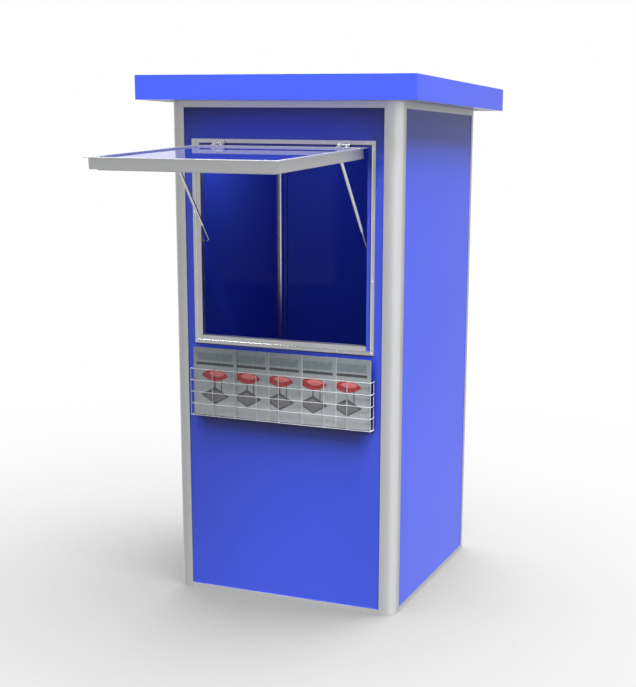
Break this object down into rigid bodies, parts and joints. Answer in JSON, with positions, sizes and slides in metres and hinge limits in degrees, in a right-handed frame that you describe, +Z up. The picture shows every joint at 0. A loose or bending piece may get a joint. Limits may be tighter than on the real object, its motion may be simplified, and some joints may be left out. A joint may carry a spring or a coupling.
{
  "type": "newspaper kiosk",
  "caption": "Square walk-in street kiosk with an overhanging flat roof, a top-hung serving hatch on stays, a wire magazine rack and a rear door.",
  "frame": {"origin": "on the underside of the floor, under the middle of the square booth", "axes": "+Z up, -Y out of the serving window, +X to the right of a customer facing the window"},
  "size_m": [1.194, 1.893, 2.161],
  "materials": {
    "blue_laminate": "glossy smooth laminate facing",
    "silver_aluminium": "satin anodised extrusion",
    "pale_ceiling": "smooth white facing",
    "dark_flooring": "matt studded flooring",
    "bright_wire": "pale coated wire",
    "bright_steel": "bright zinc plate",
    "magazine_paper": "glossy coated covers"
  },
  "bodies": {
    "kiosk": {"corner_post_front_left": "silver_aluminium", "corner_post_front_right": "silver_aluminium", "corner_post_rear_right": "silver_aluminium", "corner_post_rear_left": "silver_aluminium", "bottom_rail_front": "silver_aluminium", "bottom_rail_right": "silver_aluminium", "bottom_rail_rear": "silver_aluminium", "bottom_rail_left": "silver_aluminium", "top_rail_front": "silver_aluminium", "top_rail_right": "silver_aluminium", "top_rail_rear": "silver_aluminium", "top_rail_left": "silver_aluminium", "front_panel": "blue_laminate", "right_panel": "blue_laminate", "left_panel": "blue_laminate", "floor_panel": "dark_flooring", "ceiling_panel": "pale_ceiling", "roof_deck": "blue_laminate", "fascia_front": "blue_laminate", "fascia_right": "blue_laminate", "fascia_rear": "blue_laminate", "fascia_left": "blue_laminate", "window_head": "silver_aluminium", "window_jamb_left": "silver_aluminium", "window_jamb_right": "silver_aluminium", "window_sill": "silver_aluminium", "stay_guide_left": "silver_aluminium", "stay_guide_right": "silver_aluminium", "hatch_hinge_fixed_left": "bright_steel", "hatch_hinge_fixed_right": "bright_steel", "rack_front_grid": "bright_wire", "rack_end_left": "bright_wire", "rack_end_right": "bright_wire", "rack_base_grid": "bright_wire", "door_hinge_fixed": "bright_steel", "door_strike": "bright_steel"},
    "hatch": {"hatch_rail_front": "silver_aluminium", "hatch_rail_rear": "silver_aluminium", "hatch_rail_left": "silver_aluminium", "hatch_rail_right": "silver_aluminium", "hatch_sheet": "blue_laminate", "hatch_hinge_moving_left": "bright_steel", "hatch_hinge_moving_right": "bright_steel", "stay_pivot_left": "bright_steel", "stay_pivot_right": "bright_steel"},
    "catch": {"hatch_catch": "bright_steel"},
    "stay_left": {"stay_tube_left": "bright_steel", "stay_rod_left": "bright_steel"},
    "stay_right": {"stay_tube_right": "bright_steel", "stay_rod_right": "bright_steel"},
    "door": {"door_panel": "blue_laminate", "door_hinge_moving": "bright_steel"},
    "lever": {"door_lever_outer": "bright_steel", "door_lever_inner": "bright_steel"},
    "bolt": {"latch_bolt": "bright_steel"},
    "magazine_1": {"magazine_1": "magazine_paper"},
    "magazine_2": {"magazine_2": "magazine_paper"},
    "magazine_3": {"magazine_3": "magazine_paper"},
    "magazine_4": {"magazine_4": "magazine_paper"},
    "magazine_5": {"magazine_5": "magazine_paper"}
  },
  "joints": [
    {"name": "hatch_hinge", "type": "hinge", "parent": "kiosk", "child": "hatch", "pos_m": [0, -0.51, 1.9], "axis": [1, 0, 0], "range_deg": [0, 86.5]},
    {"name": "stay_left_pivot", "type": "hinge", "parent": "hatch", "child": "stay_left", "pos_m": [-0.35, -0.73674, 1.85608], "axis": [1, 0, 0], "range_deg": [-113.5, 0]},
    {"name": "stay_right_pivot", "type": "hinge", "parent": "hatch", "child": "stay_right", "pos_m": [0.35, -0.73674, 1.85608], "axis": [1, 0, 0], "range_deg": [-113.5, 0]},
    {"name": "hatch_catch_turn", "type": "hinge", "parent": "hatch", "child": "catch", "pos_m": [0, -1.26753, 1.80357], "axis": [0, 0.061, -0.9981], "range_deg": [0, 90]},
    {"name": "door_hinge", "type": "hinge", "parent": "kiosk", "child": "door", "pos_m": [-0.432, 0.506, 1.03], "axis": [0, 0, 1], "range_deg": [0, 100]},
    {"name": "door_lever_turn", "type": "hinge", "parent": "door", "child": "lever", "pos_m": [0.38, 0.4842, 1.05], "axis": [0, 1, 0], "range_deg": [0, 45]},
    {"name": "latch_bolt_throw", "type": "slide", "parent": "door", "child": "bolt", "axis": [1, 0, 0], "range_m": [0, 0.014]},
    {"name": "magazine_1_lift", "type": "slide", "parent": "kiosk", "child": "magazine_1", "axis": [0, 0, 1], "range_m": [0, 0.2]},
    {"name": "magazine_2_lift", "type": "slide", "parent": "kiosk", "child": "magazine_2", "axis": [0, 0, 1], "range_m": [0, 0.2]},
    {"name": "magazine_3_lift", "type": "slide", "parent": "kiosk", "child": "magazine_3", "axis": [0, 0, 1], "range_m": [0, 0.2]},
    {"name": "magazine_4_lift", "type": "slide", "parent": "kiosk", "child": "magazine_4", "axis": [0, 0, 1], "range_m": [0, 0.2]},
    {"name": "magazine_5_lift", "type": "slide", "parent": "kiosk", "child": "magazine_5", "axis": [0, 0, 1], "range_m": [0, 0.2]}
  ],
  "couplings": [
    {"joint": "stay_left_pivot", "follows": "hatch_hinge", "ratio": -1.31},
    {"joint": "stay_right_pivot", "follows": "hatch_hinge", "ratio": -1.31},
    {"joint": "latch_bolt_throw", "follows": "door_lever_turn", "m_per_rad": 0.0178}
  ]
}
